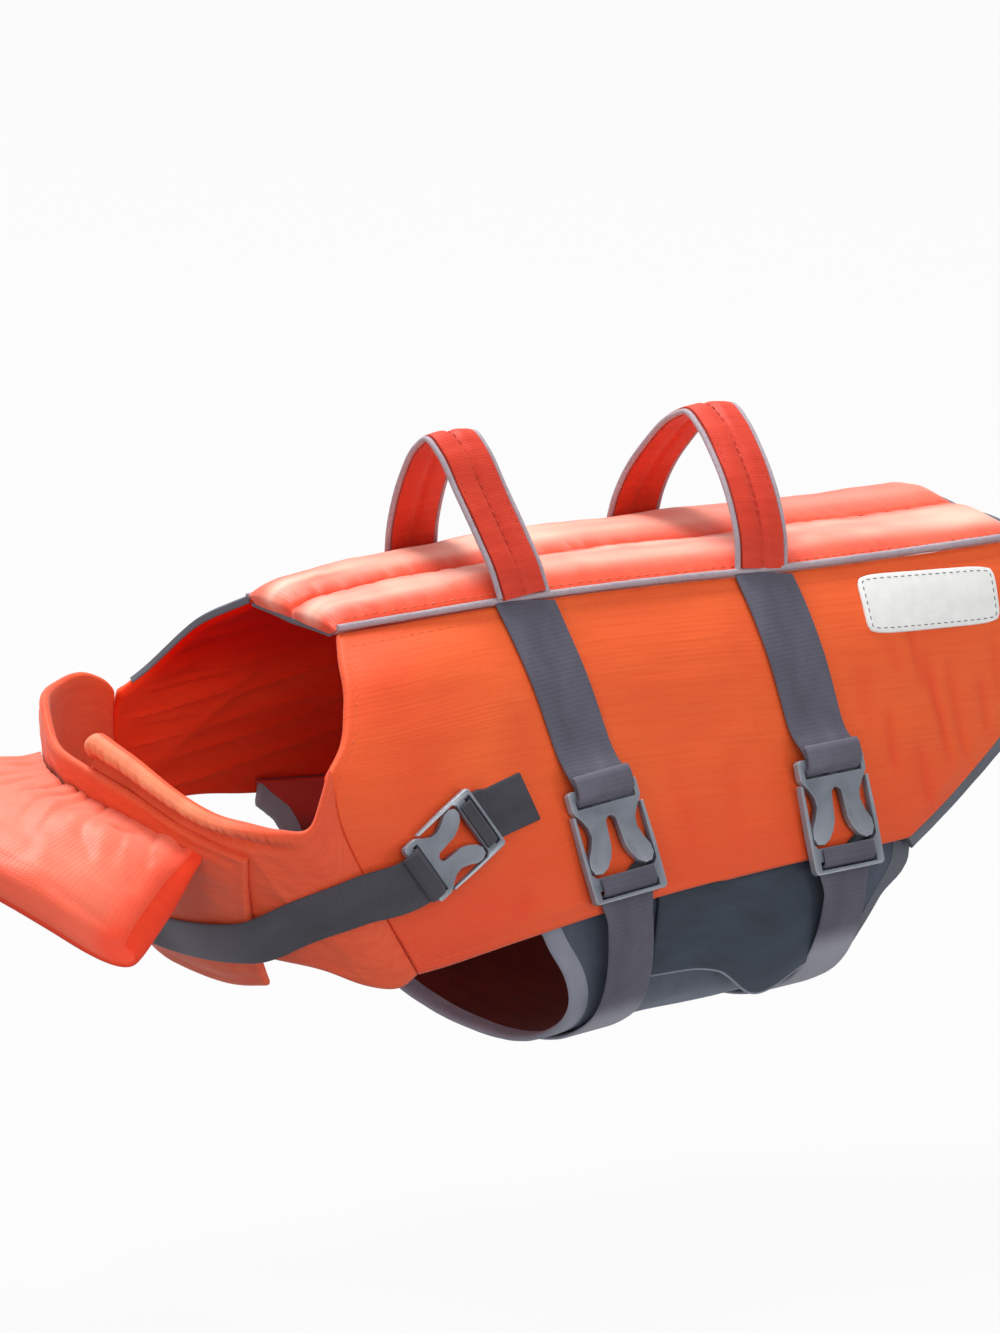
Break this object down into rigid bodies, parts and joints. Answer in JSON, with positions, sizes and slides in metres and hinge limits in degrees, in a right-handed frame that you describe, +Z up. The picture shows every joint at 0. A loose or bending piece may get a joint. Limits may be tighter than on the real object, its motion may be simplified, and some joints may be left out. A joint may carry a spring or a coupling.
{
  "type": "dog life jacket",
  "caption": "Padded dog life jacket with chin float, arched back handles, belly panel and buckled webbing, filled out as worn with no wearer.",
  "frame": {"origin": "on the lining of the back panel, midway across it, where the jacket rests on the dog's back", "axes": "+Z up, +X towards the dog's tail, -Y to the dog's left"},
  "size_m": [0.4847, 0.2123, 0.2433],
  "materials": {
    "orange_cloth": "woven, slight sheen",
    "orange_float": "woven, slight sheen",
    "belly_neoprene": "matte",
    "grey_webbing": "matte, ribbed",
    "grey_tape": "matte",
    "pale_piping": "satin",
    "grey_plastic": "satin",
    "white_label": "matte"
  },
  "bodies": {
    "root": {"back_panel": "orange_cloth", "side_panel_left": "orange_cloth", "side_panel_right": "orange_cloth", "collar_arm_left": "orange_cloth", "collar_arm_right_flap": "orange_cloth", "handle_front": "orange_cloth", "handle_rear": "orange_cloth", "chin_float": "orange_float", "belly_panel": "belly_neoprene", "belly_flap": "belly_neoprene", "girth_strap_front_upper": "grey_webbing", "girth_strap_front_lower": "grey_webbing", "girth_strap_front_right": "grey_webbing", "girth_strap_rear_upper": "grey_webbing", "girth_strap_rear_lower": "grey_webbing", "girth_strap_rear_right": "grey_webbing", "neck_strap": "grey_webbing", "neck_strap_patch": "grey_webbing", "neck_tape_left": "grey_tape", "neck_tape_right": "grey_tape", "rear_tape_left": "grey_tape", "rear_tape_right": "grey_tape", "rear_tape_back": "grey_tape", "belly_front_tape": "grey_tape", "belly_rear_tape": "grey_tape", "piping_left": "pale_piping", "piping_right": "pale_piping", "handle_front_edge_a": "pale_piping", "handle_front_edge_b": "pale_piping", "handle_rear_edge_a": "pale_piping", "handle_rear_edge_b": "pale_piping", "girth_buckle_front_plug": "grey_plastic", "girth_buckle_front_socket": "grey_plastic", "girth_buckle_rear_plug": "grey_plastic", "girth_buckle_rear_socket": "grey_plastic", "neck_buckle_plug": "grey_plastic", "neck_buckle_socket": "grey_plastic", "label_blank": "white_label"}
  },
  "joints": []
}
